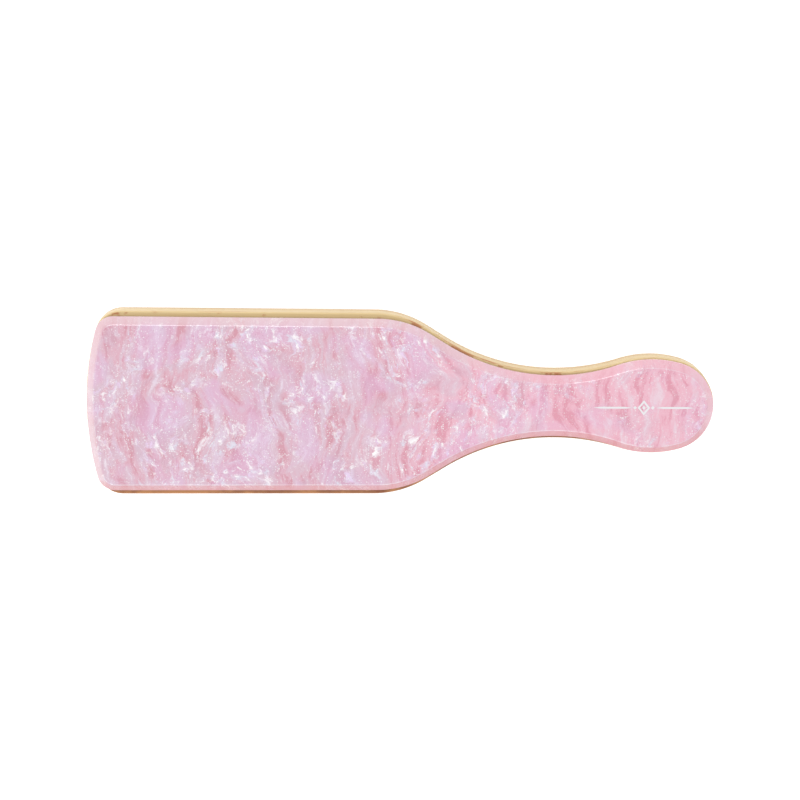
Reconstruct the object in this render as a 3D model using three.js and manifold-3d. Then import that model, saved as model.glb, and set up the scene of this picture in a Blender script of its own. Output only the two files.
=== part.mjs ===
// A slim paddle hairbrush: a bamboo body with a bevelled acetate back plate, and a rubber air
// cushion that holds bamboo pins. It stands on its pins. Millimetres, +Z up, the head towards -X
// and the handle towards +X, with the origin under the middle of the brush.
import * as THREE from "three";
import { mergeVertices } from "three/addons/utils/BufferGeometryUtils.js";
import Module from "manifold-3d";

const wasm = await Module();
wasm.setup();

// Bamboo body, seen from above
const LENGTH = 241.2;
const HEAD_WIDTH = 72;
const SIDE_TAPER = 0.26; // degrees by which each long side of the head closes in
const HEAD_END_RADIUS = 108;
const HEAD_CORNER_RADIUS = 10.4;
const SHOULDER_RADIUS = 37.8;
const SHOULDER_STRAIGHT = 8; // between the shoulder's arc and the neck's
const NECK_TO_HANDLE_END = 61.4;
const NECK_WIDTH = 25.9;
const NECK_RADIUS = 79;
const GRIP_WIDTH = 37.5;
const GRIP_SIDE_RADIUS = 40;
const GRIP_END_SLIMMER = 0.9; // the round end's radius is this much under half the grip's width

// Bamboo body, seen from the side
const BODY_THICKNESS = 12;
const PIN_SIDE_ROUND_IN = 1.4;
const PIN_SIDE_ROUND_DEPTH = 4.5;
const BACK_ROUND_IN = 0.5;
const BACK_ROUND_DEPTH = 1.2;

// Acetate plate: how far its outline stays inside the body's
const PLATE_INSET = { side: 1.9, headEnd: 0.4, neck: 1.1, grip: 0.5, handleEnd: 0.4 };
const PLATE_HEAD_END_FLATTER = 7; // added to the body's end radius
const PLATE_HEAD_CORNER_RADIUS = 7;
const PLATE_THICKNESS = 4.2;
const PLATE_EDGE_HEIGHT = 1.2;
const PLATE_BEVEL_WIDTH = 2.7;

// Pocket and cushion pad
const WOOD_BORDER = 10.6;
const POCKET_PAST_SHOULDER = 11;
const POCKET_CORNER_RADIUS = 12;
const POCKET_DEPTH = 7.5;
const GROOVE_DEPTH_BELOW_FACE = 1.1;
const GROOVE_HEIGHT = 2.2;
const GROOVE_REACH = 1.3;
const MEMBRANE = 2;
const CROWN_RISE = 4.5;
const CROWN_RUN = 5.5;
const SKIRT_DEPTH = 4.2;
const VENT_RADIUS = 0.9;

// Pins
const PIN_ROWS = 5;
const PIN_COLUMNS = 11;
const PIN_SHOWING = 17;
const PIN_TIP_RADIUS = 1.1;
const PIN_ROOT_RADIUS = 1.3;
const PIN_HEAD_RADIUS = 2.3;
const PIN_HEAD_THICKNESS = 1;
const PIN_TO_POCKET_WALL = 8.1;
const PIN_SIDES = 6;

// Backing cloth
const CLOTH_THICKNESS = 0.6;
const CLOTH_TO_MEMBRANE = 0.8;

// Clearances
const GAP = 0.3; // between pieces that touch
const PIN_ROCK_GAP = 0.4; // round each pin in its hole, so that it can lean
const HEAD_ROCK_GAP = 0.5; // between a pin's head and the membrane

// Working allowances
const PAST = 1; // how far a cutting solid runs past what it cuts
const LAP = 0.01; // how far two solids that are joined run into each other
const CUTTER_BORDER = 10; // how far a cutter that covers the brush reaches past it
const LEAST_CORNER = 1;
const HALF_PITCH = 0.5; // of a row or a column, in pinPlace

// Levels, upwards from the pin tips
const padTop = PIN_SHOWING;
const bodyFace = padTop + CROWN_RISE;
const bodyBack = bodyFace + BODY_THICKNESS;
const plateFoot = bodyBack + GAP;
const pinHeadLow = padTop + MEMBRANE + HEAD_ROCK_GAP;
const pinHeadHigh = pinHeadLow + PIN_HEAD_THICKNESS;
const clothLow = pinHeadHigh + GAP;

// Segments
const ARC_SEGMENTS = 4;
const EDGE_SEGMENTS = 4;
const BACK_SEGMENTS = 2;
const TIP_SEGMENTS = 3;

const degrees = THREE.MathUtils.degToRad;
const quarter = Math.PI / 2;

const bodyOutline = {
  headEnd: -LENGTH / 2,
  handleEnd: LENGTH / 2,
  headHalf: HEAD_WIDTH / 2,
  headEndRadius: HEAD_END_RADIUS,
  headCornerRadius: HEAD_CORNER_RADIUS,
  neckX: LENGTH / 2 - NECK_TO_HANDLE_END,
  neckHalf: NECK_WIDTH / 2,
  gripHalf: GRIP_WIDTH / 2,
};

const plateOutline = {
  headEnd: bodyOutline.headEnd + PLATE_INSET.headEnd,
  handleEnd: bodyOutline.handleEnd - PLATE_INSET.handleEnd,
  headHalf: bodyOutline.headHalf - PLATE_INSET.side,
  headEndRadius: bodyOutline.headEndRadius + PLATE_HEAD_END_FLATTER,
  headCornerRadius: PLATE_HEAD_CORNER_RADIUS,
  neckX: bodyOutline.neckX,
  neckHalf: bodyOutline.neckHalf - PLATE_INSET.neck,
  gripHalf: bodyOutline.gripHalf - PLATE_INSET.grip,
};

// The angle of the straight stretch between shoulder and neck. Both arcs and the stretch together
// come in by as much as the head is wider than the neck, and the plate's run parallel to it.
function shoulderSlope(o) {
  const tapered = Math.tan(degrees(SIDE_TAPER)) * (o.neckX - o.headEnd);
  const comesIn = o.headHalf - tapered - o.neckHalf;
  const radii = SHOULDER_RADIUS + NECK_RADIUS;
  const lean = Math.atan2(SHOULDER_STRAIGHT, radii);
  return Math.acos((radii - comesIn) / Math.hypot(radii, SHOULDER_STRAIGHT)) - lean;
}

// The point at a distance and an angle from another.
function polar(centre, radius, angle) {
  return new THREE.Vector2(
    centre.x + radius * Math.cos(angle),
    centre.y + radius * Math.sin(angle),
  );
}

// The centre of the circle inside two straight sides, each given by a point and its outward angle.
function filletCentre(pointA, angleA, pointB, angleB, radius) {
  const a = polar({ x: 0, y: 0 }, 1, angleA);
  const b = polar({ x: 0, y: 0 }, 1, angleB);
  const reachA = a.dot(pointA) - radius;
  const reachB = b.dot(pointB) - radius;
  const cross = a.cross(b);
  return new THREE.Vector2(
    (reachA * b.y - reachB * a.y) / cross,
    (reachB * a.x - reachA * b.x) / cross,
  );
}

// One half of the paddle's outline, from the middle of the head's end over the side, shoulder,
// neck and grip to the end of the handle, as arcs. Straight stretches lie between the arcs.
function halfOutline(o) {
  const sideAngle = quarter - degrees(SIDE_TAPER);
  const slopeAngle = quarter - shoulderSlope(bodyOutline);

  const endCentre = new THREE.Vector2(o.headEnd + o.headEndRadius, 0);
  const corner = new THREE.Vector2(o.headEnd, o.headHalf);
  const alongSide = polar(corner, -o.headCornerRadius, sideAngle);
  const sideways = polar({ x: 0, y: 0 }, 1, sideAngle - quarter);
  const toEnd = alongSide.clone().sub(endCentre);
  const reach = o.headEndRadius - o.headCornerRadius;
  const half = toEnd.dot(sideways);
  const step = -half - Math.sqrt(half * half - toEnd.lengthSq() + reach * reach);
  const cornerCentre = alongSide.clone().addScaledVector(sideways, step);
  const endMeetsCorner = cornerCentre.clone().sub(endCentre).angle();

  const neckCentre = new THREE.Vector2(o.neckX, o.neckHalf + NECK_RADIUS);
  const slopeFoot = polar(neckCentre, NECK_RADIUS, slopeAngle - Math.PI);
  const shoulderCentre = filletCentre(corner, sideAngle, slopeFoot, slopeAngle, SHOULDER_RADIUS);

  const gripEndRadius = o.gripHalf - GRIP_END_SLIMMER;
  const gripEndCentre = new THREE.Vector2(o.handleEnd - gripEndRadius, 0);
  const gripDrop = GRIP_SIDE_RADIUS - o.gripHalf;
  const gripBack = Math.sqrt((GRIP_SIDE_RADIUS - gripEndRadius) ** 2 - gripDrop ** 2);
  const gripCentre = new THREE.Vector2(gripEndCentre.x - gripBack, -gripDrop);
  const gripMeetsEnd = gripEndCentre.clone().sub(gripCentre).angle();

  const rise = o.gripHalf - o.neckHalf;
  const run = gripCentre.x - o.neckX;
  const bothRadii = (run * run + rise * rise) / (2 * rise);
  const gripNeckRadius = bothRadii - GRIP_SIDE_RADIUS;
  const gripNeckCentre = new THREE.Vector2(o.neckX, o.neckHalf + gripNeckRadius);
  const flare = Math.asin(run / bothRadii);

  return [
    { centre: endCentre, radius: o.headEndRadius, from: Math.PI, to: endMeetsCorner },
    { centre: cornerCentre, radius: o.headCornerRadius, from: endMeetsCorner, to: sideAngle },
    { centre: shoulderCentre, radius: SHOULDER_RADIUS, from: sideAngle, to: slopeAngle },
    { centre: neckCentre, radius: NECK_RADIUS, from: slopeAngle - Math.PI, to: -quarter },
    { centre: gripNeckCentre, radius: gripNeckRadius, from: -quarter, to: flare - quarter },
    { centre: gripCentre, radius: GRIP_SIDE_RADIUS, from: flare + quarter, to: gripMeetsEnd },
    { centre: gripEndCentre, radius: gripEndRadius, from: gripMeetsEnd, to: 0 },
  ];
}

// The whole outline: along the lower half to the handle, and back along the upper half.
function paddleShape(outline) {
  const arcs = halfOutline(outline);
  const shape = new THREE.Shape();
  for (const { centre, radius, from, to } of arcs)
    shape.absarc(centre.x, -centre.y, radius, -from, -to, to > from);
  for (const { centre, radius, from, to } of arcs.reverse())
    shape.absarc(centre.x, centre.y, radius, to, from, to > from);
  return shape;
}

function roundedRectangle(box, grow = 0) {
  const radius = Math.max(box.radius + grow, LEAST_CORNER);
  const left = box.left - grow;
  const right = box.right + grow;
  const half = box.half + grow;
  const shape = new THREE.Shape();
  shape.absarc(right - radius, half - radius, radius, 0, quarter, false);
  shape.absarc(left + radius, half - radius, radius, quarter, Math.PI, false);
  shape.absarc(left + radius, radius - half, radius, Math.PI, Math.PI + quarter, false);
  shape.absarc(right - radius, radius - half, radius, -quarter, 0, false);
  return shape;
}

// A shape extruded between two levels. With an edge, both ends are rounded or bevelled inwards
// by edge.in over a height of edge.depth.
function slab(shape, low, high, edge) {
  const depth = edge ? edge.depth : 0;
  const geometry = new THREE.ExtrudeGeometry(shape, {
    depth: high - low - 2 * depth,
    curveSegments: ARC_SEGMENTS,
    bevelEnabled: Boolean(edge),
    bevelThickness: depth,
    bevelSize: edge ? edge.in : 0,
    bevelOffset: edge ? -edge.in : 0,
    bevelSegments: edge ? edge.segments : 0,
  });
  return geometry.translate(0, 0, low + depth);
}

function solid(geometry) {
  const bare = new THREE.BufferGeometry();
  bare.setAttribute("position", geometry.getAttribute("position"));
  if (geometry.index) bare.setIndex(geometry.index);
  const merged = mergeVertices(bare, 1e-4);
  return new wasm.Manifold(
    new wasm.Mesh({
      numProp: 3,
      vertProperties: new Float32Array(merged.attributes.position.array),
      triVerts: new Uint32Array(merged.index.array),
    }),
  );
}

function geometryOf(manifold) {
  const mesh = manifold.getMesh();
  const geometry = new THREE.BufferGeometry();
  geometry.setAttribute("position", new THREE.BufferAttribute(mesh.vertProperties, mesh.numProp));
  geometry.setIndex(new THREE.BufferAttribute(mesh.triVerts, 1));
  geometry.computeVertexNormals();
  return geometry;
}

function named(name, geometry, material) {
  const mesh = new THREE.Mesh(geometry, material);
  mesh.name = name;
  return mesh;
}

// The pocket in the pin side of the head. The pad, its groove and the pins are placed from it.
const shoulderX = halfOutline(bodyOutline)[2].centre.x;
const pocket = {
  left: bodyOutline.headEnd + WOOD_BORDER,
  right: shoulderX + POCKET_PAST_SHOULDER,
  half: bodyOutline.headHalf - WOOD_BORDER,
  radius: POCKET_CORNER_RADIUS,
};

const firstPinX = pocket.left + PIN_TO_POCKET_WALL;
const lastPinX = pocket.right - PIN_TO_POCKET_WALL;
const columnPitch = (lastPinX - firstPinX) / (PIN_COLUMNS - 1);
const outerRowY = pocket.half - PIN_TO_POCKET_WALL;
const rowPitch = (2 * outerRowY) / (PIN_ROWS - 1);

function pinPlace(row, column) {
  return {
    x: firstPinX + column * columnPitch,
    y: row * rowPitch - outerRowY,
  };
}

function bambooBody() {
  // Rounded deeply on the pin side and slightly at the back: what two rounded slabs share, each of
  // which runs past the other's rounded end.
  const pinSide = { in: PIN_SIDE_ROUND_IN, depth: PIN_SIDE_ROUND_DEPTH, segments: EDGE_SEGMENTS };
  const back = { in: BACK_ROUND_IN, depth: BACK_ROUND_DEPTH, segments: BACK_SEGMENTS };
  const shape = paddleShape(bodyOutline);
  const belowBack = slab(shape, bodyFace - back.depth - PAST, bodyBack, back);
  const aboveFace = slab(shape, bodyFace, bodyBack + pinSide.depth + PAST, pinSide);
  const hollow = slab(roundedRectangle(pocket), bodyFace - PAST, bodyFace + POCKET_DEPTH);
  const grooveLow = bodyFace + GROOVE_DEPTH_BELOW_FACE;
  const groove = slab(
    roundedRectangle(pocket, GROOVE_REACH),
    grooveLow,
    grooveLow + GROOVE_HEIGHT,
  );
  const blank = solid(aboveFace).intersect(solid(belowBack));
  return blank.subtract(solid(hollow)).subtract(solid(groove));
}

function acetatePlate() {
  const bevelHeight = PLATE_THICKNESS - PLATE_EDGE_HEIGHT;
  const plateTop = plateFoot + PLATE_THICKNESS;
  const shape = paddleShape(plateOutline);
  // Bevelled at both ends, then cut off at its foot, which leaves the upright edge below the bevel.
  const edge = { in: PLATE_BEVEL_WIDTH, depth: bevelHeight, segments: 1 };
  const bevelled = slab(shape, plateFoot - bevelHeight, plateTop, edge);
  const above = slab(roundedRectangle(cutterBox()), plateFoot, plateTop + PAST);
  return solid(bevelled).intersect(solid(above));
}

// A rectangle that covers the whole brush, for cutting at a level.
function cutterBox() {
  return {
    left: bodyOutline.headEnd - CUTTER_BORDER,
    right: bodyOutline.handleEnd + CUTTER_BORDER,
    half: Math.max(bodyOutline.headHalf, bodyOutline.gripHalf) + CUTTER_BORDER,
    radius: CUTTER_BORDER,
  };
}

// A crowned cap with a straight skirt behind it, over the pocket's outline grown by grow.
function crownedBlock(grow, top, rise, run, skirtHigh) {
  const edge = { in: run, depth: rise, segments: EDGE_SEGMENTS };
  const outline = roundedRectangle(pocket, grow);
  const rim = top + rise;
  // Rounded at both ends, then cut off at the rim, which leaves the crowned end.
  const capHigh = rim + PAST + rise;
  const cap = slab(outline, top, capHigh, edge);
  const behind = slab(roundedRectangle(cutterBox()), rim, capHigh + PAST);
  const skirt = slab(outline, rim - LAP, skirtHigh);
  return solid(cap).subtract(solid(behind)).add(solid(skirt));
}

function pinHole(place, radius) {
  const height = MEMBRANE + 2 * PAST;
  const hole = new THREE.CylinderGeometry(radius, radius, height, PIN_SIDES);
  return hole.rotateX(quarter).translate(place.x, place.y, padTop + MEMBRANE / 2);
}

function cushionPad() {
  const skirtHigh = bodyFace + SKIRT_DEPTH;
  const outside = crownedBlock(-GAP, padTop, CROWN_RISE, CROWN_RUN, skirtHigh);
  const inside = crownedBlock(
    -GAP - MEMBRANE,
    padTop + MEMBRANE,
    CROWN_RISE - MEMBRANE,
    CROWN_RUN - MEMBRANE,
    skirtHigh + PAST,
  );
  const beadLow = bodyFace + GROOVE_DEPTH_BELOW_FACE + GAP;
  const beadHigh = beadLow + GROOVE_HEIGHT - 2 * GAP;
  const bead = slab(roundedRectangle(pocket, GROOVE_REACH - GAP), beadLow, beadHigh);
  let pad = outside.add(solid(bead)).subtract(inside);
  for (let row = 0; row < PIN_ROWS; row++)
    for (let column = 0; column < PIN_COLUMNS; column++) {
      const hole = pinHole(pinPlace(row, column), PIN_ROOT_RADIUS + PIN_ROCK_GAP);
      pad = pad.subtract(solid(hole));
    }
  // The vent is in the middle of four pins, beside the middle row and before the last column.
  const middleRow = (PIN_ROWS - 1) / 2;
  const lastColumn = PIN_COLUMNS - 1;
  const vent = pinPlace(middleRow + HALF_PITCH, lastColumn - HALF_PITCH);
  return pad.subtract(solid(pinHole(vent, VENT_RADIUS)));
}

// A turned pin: a rounded tip on the ground, a shaft that widens upwards, and a flat head that
// sits behind the membrane.
function pin() {
  const profile = [];
  for (let i = 0; i <= TIP_SEGMENTS; i++) {
    const angle = (i / TIP_SEGMENTS) * quarter;
    const radius = i === 0 ? 0 : PIN_TIP_RADIUS * Math.sin(angle);
    profile.push(new THREE.Vector2(radius, PIN_TIP_RADIUS * (1 - Math.cos(angle))));
  }
  profile.push(
    new THREE.Vector2(PIN_ROOT_RADIUS, padTop),
    new THREE.Vector2(PIN_ROOT_RADIUS, pinHeadLow),
    new THREE.Vector2(PIN_HEAD_RADIUS, pinHeadLow),
    new THREE.Vector2(PIN_HEAD_RADIUS, pinHeadHigh),
    new THREE.Vector2(0, pinHeadHigh),
  );
  return new THREE.LatheGeometry(profile, PIN_SIDES).rotateX(quarter);
}

function backingCloth() {
  const outline = roundedRectangle(pocket, -GAP - MEMBRANE - CLOTH_TO_MEMBRANE);
  return slab(outline, clothLow, clothLow + CLOTH_THICKNESS);
}

const bamboo = new THREE.MeshStandardMaterial({ color: 0xe3c995, roughness: 0.5, metalness: 0 });
const acetate = new THREE.MeshStandardMaterial({ color: 0xecc6d3, roughness: 0.12, metalness: 0 });
const rubber = new THREE.MeshStandardMaterial({ color: 0xf1dfdc, roughness: 0.6, metalness: 0 });
const pinWood = new THREE.MeshStandardMaterial({ color: 0xd9b47c, roughness: 0.45, metalness: 0 });
const cloth = new THREE.MeshStandardMaterial({ color: 0xe9e3d8, roughness: 0.95, metalness: 0 });

const brush = new THREE.Group();
brush.add(
  named("bamboo_body", geometryOf(bambooBody()), bamboo),
  named("acetate_back_plate", geometryOf(acetatePlate()), acetate),
  named("cushion_pad", geometryOf(cushionPad()), rubber),
  named("pad_backing_cloth", backingCloth(), cloth),
);

for (let row = 0; row < PIN_ROWS; row++)
  for (let column = 0; column < PIN_COLUMNS; column++) {
    const number = String(column + 1).padStart(2, "0");
    const place = pinPlace(row, column);
    const turned = named(`pin_row${row + 1}_${number}`, pin(), pinWood);
    turned.position.set(place.x, place.y, 0);
    brush.add(turned);
  }

export default brush;
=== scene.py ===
import math
import random

import bmesh
import bpy
from mathutils import Matrix, Vector


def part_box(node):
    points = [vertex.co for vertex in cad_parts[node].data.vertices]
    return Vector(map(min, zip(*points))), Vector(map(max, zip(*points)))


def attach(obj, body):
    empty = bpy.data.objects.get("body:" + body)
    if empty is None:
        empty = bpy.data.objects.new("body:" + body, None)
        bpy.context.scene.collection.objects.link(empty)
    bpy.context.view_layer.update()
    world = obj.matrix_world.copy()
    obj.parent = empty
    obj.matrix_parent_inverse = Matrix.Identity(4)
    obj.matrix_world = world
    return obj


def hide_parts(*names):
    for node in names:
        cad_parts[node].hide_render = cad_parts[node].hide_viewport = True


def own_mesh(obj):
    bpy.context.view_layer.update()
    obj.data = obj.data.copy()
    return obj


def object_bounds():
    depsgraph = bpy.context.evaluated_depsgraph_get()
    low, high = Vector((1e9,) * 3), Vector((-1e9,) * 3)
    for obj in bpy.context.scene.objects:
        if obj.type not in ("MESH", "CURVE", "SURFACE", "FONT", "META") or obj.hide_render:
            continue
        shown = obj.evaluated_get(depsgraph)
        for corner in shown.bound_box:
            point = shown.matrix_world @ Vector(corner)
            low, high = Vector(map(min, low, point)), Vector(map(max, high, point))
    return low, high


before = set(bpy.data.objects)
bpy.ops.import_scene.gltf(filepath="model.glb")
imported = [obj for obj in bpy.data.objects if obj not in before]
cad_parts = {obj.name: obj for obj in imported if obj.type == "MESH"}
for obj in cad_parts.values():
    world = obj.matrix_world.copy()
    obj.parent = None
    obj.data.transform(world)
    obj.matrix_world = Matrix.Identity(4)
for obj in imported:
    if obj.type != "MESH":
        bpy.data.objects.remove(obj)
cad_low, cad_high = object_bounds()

MM = 0.001
QUARTER = math.pi / 2

# Paddle outline, seen from above
SIDE_TAPER = math.radians(0.26)
HEAD_HALF = 36 * MM
HEAD_END_RADIUS = 108 * MM
HEAD_CORNER_RADIUS = 10.4 * MM
SHOULDER_RADIUS = 37.8 * MM
SHOULDER_STRAIGHT = 8 * MM
NECK_TO_HANDLE_END = 61.4 * MM
NECK_HALF = 12.95 * MM
NECK_RADIUS = 79 * MM
GRIP_HALF = 18.75 * MM
GRIP_SIDE_RADIUS = 40 * MM
GRIP_END_SLIMMER = 0.9 * MM
OUTLINE_STEP = 1.5 * MM
OUTLINE_TURN = math.radians(4)
TOUCHING = 0.05 * MM  # arcs whose ends are closer than this have no straight between them

# Bamboo body, seen from the side
PIN_SIDE_ROUND = (1.4 * MM, 4.5 * MM)  # how far in, and over what depth
BACK_ROUND = (0.5 * MM, 1.2 * MM)
SUPPORT = 0.5 * MM  # a narrow flat ring beside each rounded edge keeps the flat face's shading even

# Acetate plate
PLATE_SIDE_INSET = 1.9 * MM
PLATE_NECK_INSET = 1.1 * MM
PLATE_GRIP_INSET = 0.5 * MM
PLATE_HEAD_END_FLATTER = 7 * MM
PLATE_HEAD_CORNER_RADIUS = 7 * MM
PLATE_EDGE_HEIGHT = 1.2 * MM
PLATE_BEVEL_WIDTH = 2.7 * MM
PLATE_FOOT_ROUND = 0.12 * MM
PLATE_EDGE_ROUND = 0.3 * MM
PLATE_TOP_ROUND = 0.9 * MM
PLATE_FACE_RING = 1.2 * MM  # the flat ring of the face beside its rounded edge
BEVEL_TINT_START = 0.05 * MM  # below the face
BEVEL_TINT_FADE = 0.35 * MM
# Half the width of the painted highlight line just below the plate's face
PAINTED_HIGHLIGHT_HALF = 0.06 * MM

# Pocket and cushion
WOOD_BORDER = 10.6 * MM
POCKET_CORNER_RADIUS = 12 * MM
POCKET_DEPTH = 7.5 * MM
POCKET_RIM_ROUND = 0.4 * MM
GROOVE_DEPTH_BELOW_FACE = 1.1 * MM
GROOVE_HEIGHT = 2.2 * MM
GROOVE_REACH = 1.3 * MM
PAD_GAP = 0.3 * MM
PAD_MEMBRANE = 2 * MM
PAD_CROWN_RUN = 8.2 * MM
PAD_INNER_RUN = 3.6 * MM  # steeper inside, which leaves the outer pins' heads room to lean
PAD_CROWN_POWER = 2.3
PAD_BEAD_REACH = 1.3 * MM
PIN_HOLE_GAP = 0.4 * MM
COLLAR_HEIGHT = 0.42 * MM
COLLAR_RADIUS = 2.1 * MM
COLLAR_WIDTH = 0.42 * MM
VENT_RADIUS = 0.9 * MM
OUTER_CELL = 3 * MM  # from the outermost pins to the edge of the pinned field
CELL_STEPS = 8  # along each side of the cell of rubber round a pin
COLLAR_RINGS = (0, 0.35, 0.8, 1.3, 1.9, 2.7)  # out from the hole's edge, in collar widths
SHOULDER_STEPS = 10
SKIRT_ROUND = 0.3 * MM

# Backing cloth
CLOTH_THREAD_PITCH = 0.55  # in millimetres, as the shaders measure
CLOTH_EDGE_ROUND = 0.2 * MM
CLOTH_FACE_RING = 2 * MM

# Pins
PIN_ROWS = 5
PIN_COLUMNS = 11
PIN_TIP_RADIUS = 1.1 * MM
PIN_ROOT_RADIUS = 1.3 * MM
PIN_HEAD_RADIUS = 2.3 * MM
PIN_HEAD_THICKNESS = 1 * MM
PIN_HEAD_ROUND = 0.5 * MM  # half its thickness, so that it clears membrane and cloth at full lean
PIN_WAIST = 0.06 * MM  # how much slimmer the shaft is half way up than a straight taper
PIN_SIDES = 24
PIN_TIP_STEPS = 7
PIN_SHAFT_STEPS = 6

# White ornament on the grip
PRINT_CENTRE_X = 93.2 * MM
PRINT_LENGTH = 39 * MM
PRINT_HEIGHT = 6 * MM
PRINT_LINE = 0.75 * MM
PRINT_TAPER = 3 * MM
PRINT_DOT = 0.75 * MM
PRINT_CORE = 0.7 * MM
PRINT_THICKNESS = 0.03 * MM
PRINT_GAP = 2 * MM

# Stage and camera
FLOOR_HALF = 3.0
FLOOR_GAP = 0.2 * MM
FLOOR_WHITE = 0.95
FLOOR_GLOW = 0.2
SKY_LIGHT = 1.15
CAMERA_LEAN = math.radians(12)
CAMERA_SWAY = math.radians(0.79)
CAMERA_TURN = math.radians(-0.24)
CAMERA_DISTANCE = 1.0
CAMERA_LENS = 117.1

body_low, body_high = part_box("bamboo_body")
plate_low, plate_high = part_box("acetate_back_plate")
pad_low, pad_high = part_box("cushion_pad")
cloth_low, cloth_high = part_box("pad_backing_cloth")
random.seed(7)


# ---------------------------------------------------------------- outlines

NECK_X = body_high.x - NECK_TO_HANDLE_END
comes_in = HEAD_HALF - math.tan(SIDE_TAPER) * (NECK_X - body_low.x) - NECK_HALF
both_radii = SHOULDER_RADIUS + NECK_RADIUS
SHOULDER_SLOPE = math.acos((both_radii - comes_in) / math.hypot(both_radii, SHOULDER_STRAIGHT))
SHOULDER_SLOPE -= math.atan2(SHOULDER_STRAIGHT, both_radii)


def paddle(head_end, handle_end, head_half, end_radius, corner_radius, neck_half, grip_half):
    """One half's arcs from the middle of the head's end round to the end of the handle."""
    side = QUARTER - SIDE_TAPER
    slope = QUARTER - SHOULDER_SLOPE

    def polar(centre, radius, angle):
        return Vector((centre.x + radius * math.cos(angle), centre.y + radius * math.sin(angle)))

    zero = Vector((0, 0))
    end_centre = Vector((head_end + end_radius, 0))
    corner = Vector((head_end, head_half))
    along = polar(corner, -corner_radius, side)
    sideways = polar(zero, 1, side - QUARTER)
    to_end = along - end_centre
    reach = end_radius - corner_radius
    half = to_end.dot(sideways)
    step = -half - math.sqrt(half * half - to_end.length_squared + reach * reach)
    corner_centre = along + sideways * step
    end_meets = math.atan2(corner_centre.y - end_centre.y, corner_centre.x - end_centre.x)

    neck_centre = Vector((NECK_X, neck_half + NECK_RADIUS))
    slope_foot = polar(neck_centre, NECK_RADIUS, slope - math.pi)
    a, b = polar(zero, 1, side), polar(zero, 1, slope)
    reach_a = a.dot(corner) - SHOULDER_RADIUS
    reach_b = b.dot(slope_foot) - SHOULDER_RADIUS
    cross = a.x * b.y - a.y * b.x
    shoulder = Vector((reach_a * b.y - reach_b * a.y, reach_b * a.x - reach_a * b.x)) / cross

    grip_end_radius = grip_half - GRIP_END_SLIMMER
    grip_end = Vector((handle_end - grip_end_radius, 0))
    drop = GRIP_SIDE_RADIUS - grip_half
    back = math.sqrt((GRIP_SIDE_RADIUS - grip_end_radius) ** 2 - drop**2)
    grip = Vector((grip_end.x - back, -drop))
    grip_meets = math.atan2(grip_end.y - grip.y, grip_end.x - grip.x)
    rise, run = grip_half - neck_half, grip.x - NECK_X
    both = (run * run + rise * rise) / (2 * rise)
    flare = math.asin(run / both)
    grip_neck_radius = both - GRIP_SIDE_RADIUS
    grip_neck = Vector((NECK_X, neck_half + grip_neck_radius))
    outwards, inwards = 1, -1
    return [
        Arc(end_centre, end_radius, math.pi, end_meets, outwards),
        Arc(corner_centre, corner_radius, end_meets, side, outwards),
        Arc(shoulder, SHOULDER_RADIUS, side, slope, outwards),
        Arc(neck_centre, NECK_RADIUS, slope - math.pi, -QUARTER, inwards),
        Arc(grip_neck, grip_neck_radius, -QUARTER, flare - QUARTER, inwards),
        Arc(grip, GRIP_SIDE_RADIUS, flare + QUARTER, grip_meets, outwards),
        Arc(grip_end, grip_end_radius, grip_meets, 0, outwards),
    ]


class Arc:
    """A stretch of outline that bulges outwards (bulge 1) or is hollow (bulge -1)."""

    def __init__(self, centre, radius, start, stop, bulge):
        self.centre, self.radius = centre, radius
        self.start, self.stop, self.bulge = start, stop, bulge
        turn = abs(stop - start)
        self.steps = max(4, round(turn * radius / OUTLINE_STEP), round(turn / OUTLINE_TURN))

    def at(self, angle, inset=0.0):
        radius = self.radius - self.bulge * inset
        return self.centre + radius * Vector((math.cos(angle), math.sin(angle)))


def half_points(arcs, inset):
    """Points along the arcs and the straights between them, moved inwards by inset. The number of
    points is the same for every inset."""
    points = []
    for arc, following in zip(arcs, arcs[1:] + [None]):
        for i in range(arc.steps + 1):
            points.append(arc.at(arc.start + (arc.stop - arc.start) * i / arc.steps, inset))
        if following is None:
            break
        straight = (following.at(following.start) - arc.at(arc.stop)).length
        if straight < TOUCHING:
            points.pop()
            continue
        steps = max(1, round(straight / (2 * OUTLINE_STEP)))
        last, onward = points[-1], following.at(following.start, inset)
        points.extend(last.lerp(onward, i / steps) for i in range(1, steps))
    return points


def paddle_ring(arcs, inset, z):
    upper = half_points(arcs, inset)
    lower = [Vector((p.x, -p.y)) for p in reversed(upper[1:-1])]
    return [Vector((p.x, p.y, z)) for p in upper + lower]


body_arcs = paddle(
    body_low.x,
    body_high.x,
    HEAD_HALF,
    HEAD_END_RADIUS,
    HEAD_CORNER_RADIUS,
    NECK_HALF,
    GRIP_HALF,
)
plate_arcs = paddle(
    plate_low.x,
    plate_high.x,
    HEAD_HALF - PLATE_SIDE_INSET,
    HEAD_END_RADIUS + PLATE_HEAD_END_FLATTER,
    PLATE_HEAD_CORNER_RADIUS,
    NECK_HALF - PLATE_NECK_INSET,
    GRIP_HALF - PLATE_GRIP_INSET,
)


# ---------------------------------------------------------------- mesh helpers


def loft(bm, rings):
    """Quads between closed rings of equally many points. Gives the rings' vertices."""
    rows = [[bm.verts.new(p) for p in ring] for ring in rings]
    for a, b in zip(rows, rows[1:]):
        for i in range(len(a)):
            j = (i + 1) % len(a)
            bm.faces.new((a[i], a[j], b[j], b[i]))
    return rows


def ring_edges(bm, row):
    return [bm.edges.get((row[i], row[(i + 1) % len(row)])) for i in range(len(row))]


def fill(bm, *rows):
    """Triangles over the flat area inside the first row of vertices, less the other rows' holes."""
    edges = [e for row in rows for e in ring_edges(bm, row)]
    bmesh.ops.triangle_fill(bm, use_beauty=True, use_dissolve=False, edges=edges)


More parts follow.
